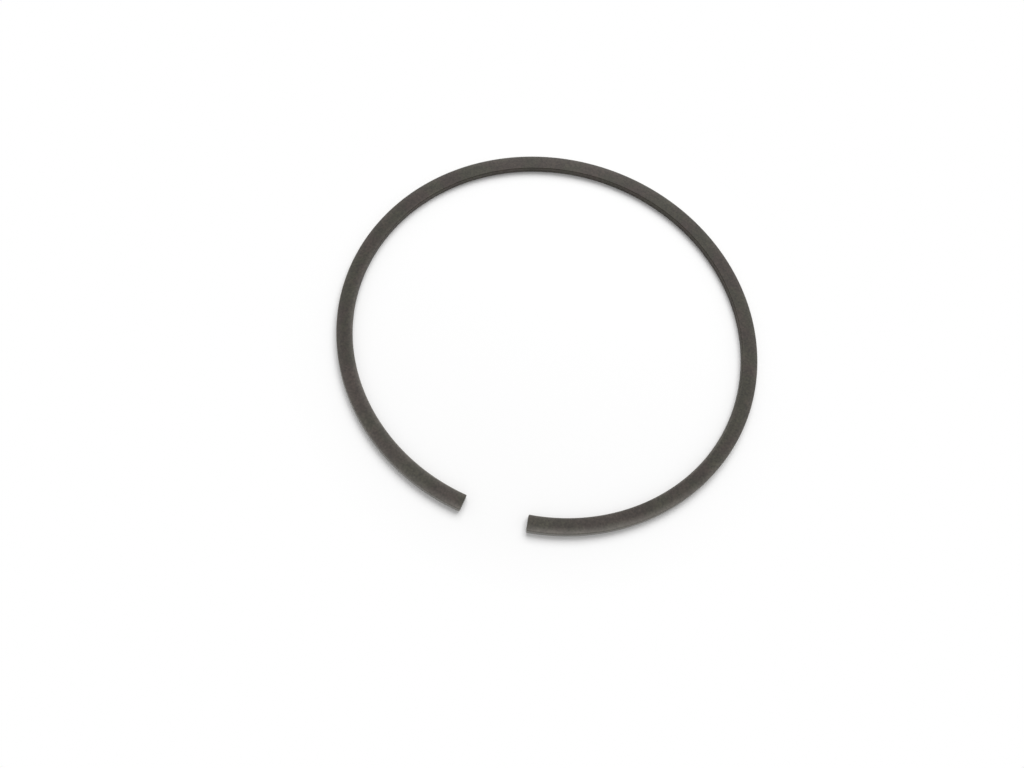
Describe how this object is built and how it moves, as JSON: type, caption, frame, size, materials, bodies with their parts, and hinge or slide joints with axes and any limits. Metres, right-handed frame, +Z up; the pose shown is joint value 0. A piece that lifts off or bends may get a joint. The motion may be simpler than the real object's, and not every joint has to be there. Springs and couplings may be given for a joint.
{
  "type": "piston ring",
  "caption": "Split iron compression ring for an engine piston, rectangular in section with a faintly tapered running face, lying free and sprung open at square ends.",
  "frame": {"origin": "middle of the ring's box, on the plane of its lower side", "axes": "+Z up along the axis of the cylinder that the ring runs in, -Y through the end gap, +X across the ring"},
  "size_m": [0.0906, 0.0888, 0.0015],
  "materials": {
    "phosphated_iron": "matte dark grey phosphate coat"
  },
  "bodies": {
    "root": {"compression_ring": "phosphated_iron"}
  },
  "joints": []
}
